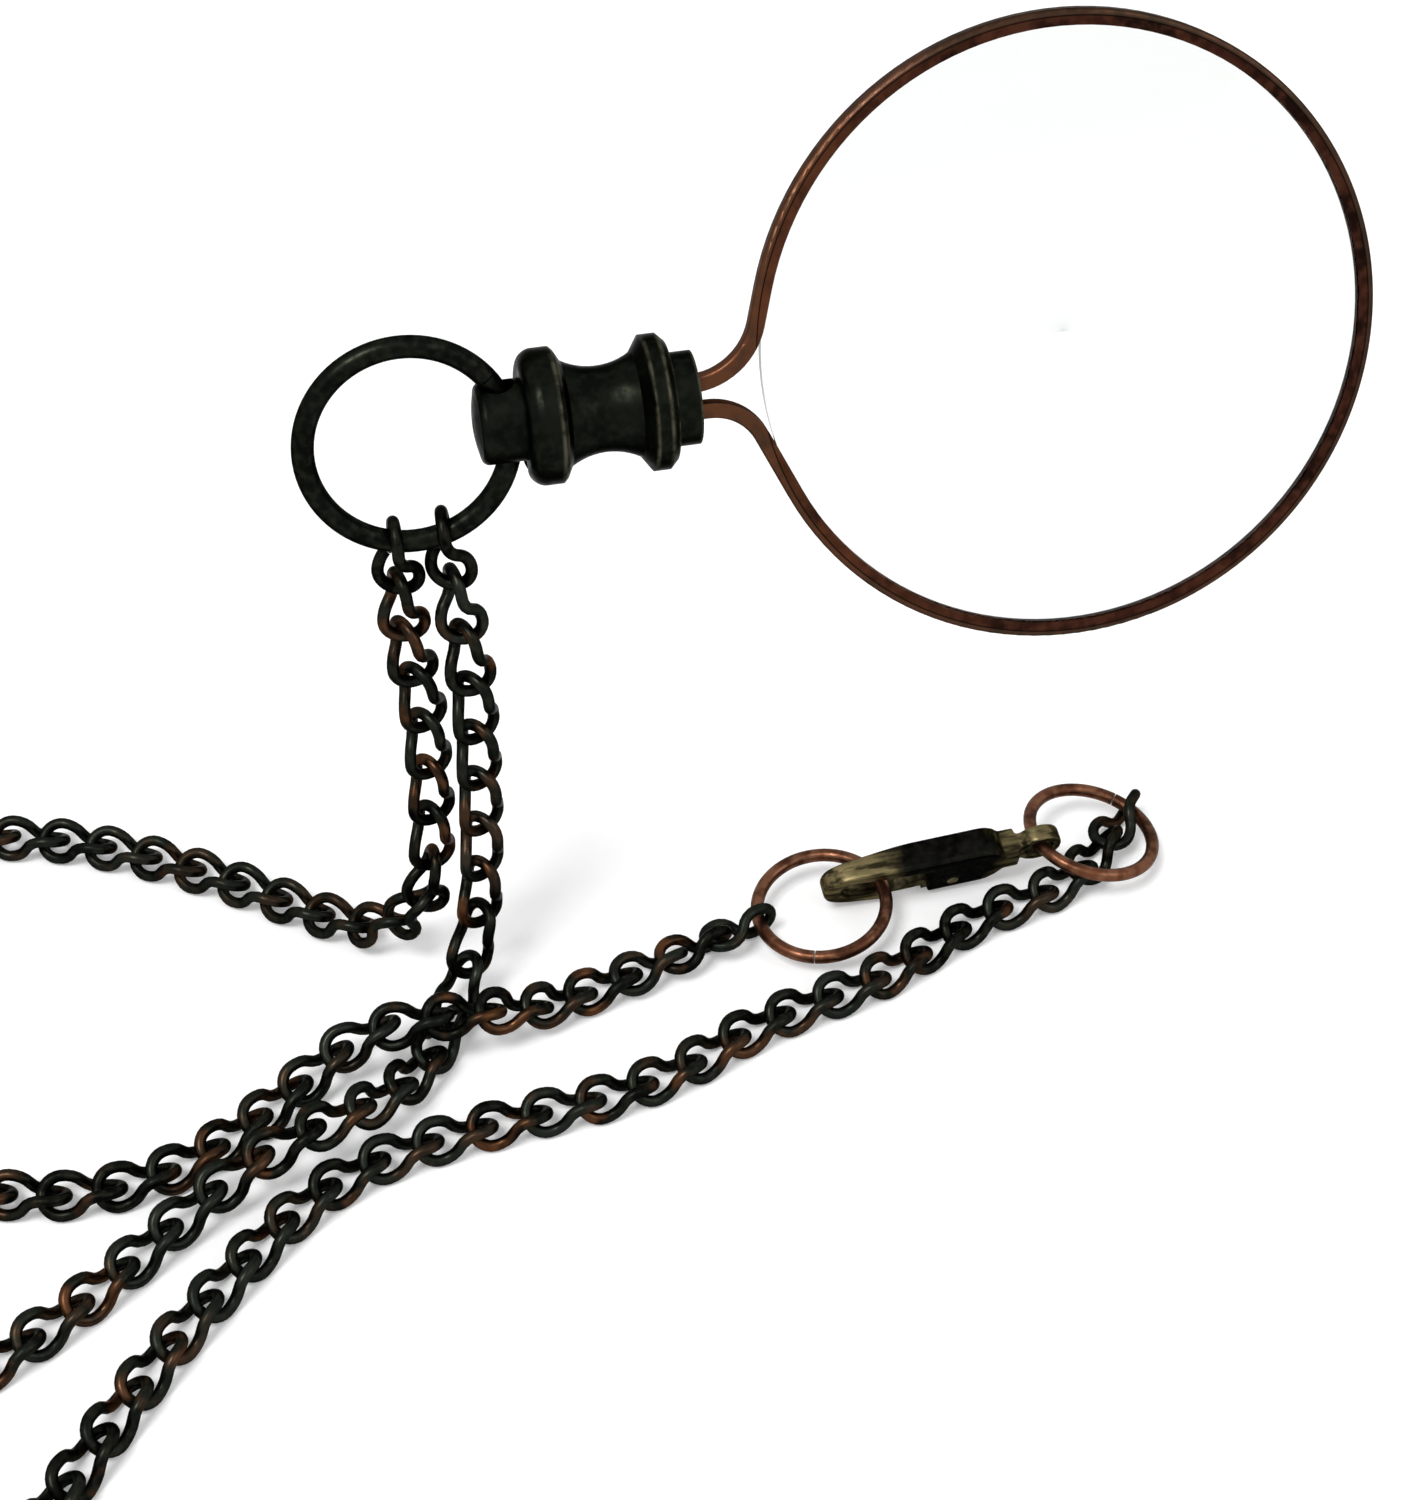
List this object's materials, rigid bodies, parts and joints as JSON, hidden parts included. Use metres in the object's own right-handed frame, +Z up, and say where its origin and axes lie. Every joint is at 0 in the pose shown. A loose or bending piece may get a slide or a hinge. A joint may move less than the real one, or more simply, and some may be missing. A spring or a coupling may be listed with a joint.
{
  "type": "quizzing glass",
  "caption": "Round magnifying lens in a wire rim on a short turned handle, with a bail ring and a long neck chain closed by a hook clasp",
  "frame": {"origin": "on the turned handle's axis, at the middle of its waist", "axes": "+X along the handle from the ring knob to the lens, +Y away from the viewer, +Z up from the surface that the chain lies on"},
  "size_m": [0.1175, 0.0732, 0.0704],
  "materials": {
    "lens_glass": "clear and polished",
    "aged_copper": "reddish brown antique plating",
    "dark_brass": "blackened satin",
    "solder": "dull",
    "ring_brass": "blackened satin",
    "chain_copper": "antique black with worn copper edges",
    "end_ring_copper": "antique copper",
    "clasp_dark": "black satin",
    "clasp_worn": "worn satin",
    "clasp_pin_metal": "worn satin",
    "spring_steel": "bright"
  },
  "bodies": {
    "glass": {"lens": "lens_glass", "rim_wire": "aged_copper", "handle": "dark_brass", "rim_solder": "solder", "chain_ring_run": "chain_copper", "chain_pile": "chain_copper", "chain_middle_run": "chain_copper", "chain_left_turn": "chain_copper", "chain_back_run": "chain_copper", "chain_hanging_left": "chain_copper", "chain_clasp_run": "chain_copper", "chain_lower_run": "chain_copper", "chain_corner_turn": "chain_copper", "chain_front_run": "chain_copper", "chain_hanging_right": "chain_copper", "clasp_body": "clasp_dark", "clasp_pin": "clasp_pin_metal", "clasp_spring": "spring_steel"},
    "bail": {"bail_ring": "ring_brass", "chain_hitch": "chain_copper"},
    "lever": {"clasp_lever": "clasp_worn"},
    "ring_a": {"end_ring_a": "end_ring_copper"},
    "ring_b": {"end_ring_b": "end_ring_copper"}
  },
  "joints": [
    {"name": "bail_ring_swing", "type": "hinge", "parent": "glass", "child": "bail", "pos_m": [-0.00649, 0, 0], "axis": [-0.1288, 0.2449, 0.9609], "range_deg": [-80, 80], "deforming": ["chain_hanging_left", "chain_hanging_right"]},
    {"name": "clasp_lever_open", "type": "hinge", "parent": "glass", "child": "lever", "pos_m": [0.02565, -0.00117, -0.04662], "axis": [-0.0454, 0.9387, 0.3417], "range_deg": [0, 20], "stiffness_Nm_per_rad": 0.002, "springref_deg": -5.73, "deforming": ["clasp_spring"]},
    {"name": "end_ring_a_turn", "type": "hinge", "parent": "glass", "child": "ring_a", "pos_m": [0.0151, -0.0033, -0.04645], "axis": [-0.1076, -0.0819, 0.9908], "continuous": true},
    {"name": "end_ring_b_turn", "type": "hinge", "parent": "glass", "child": "ring_b", "pos_m": [0.0373, -0.00035, -0.0461], "axis": [0.1994, 0.0122, 0.9799], "continuous": true}
  ]
}
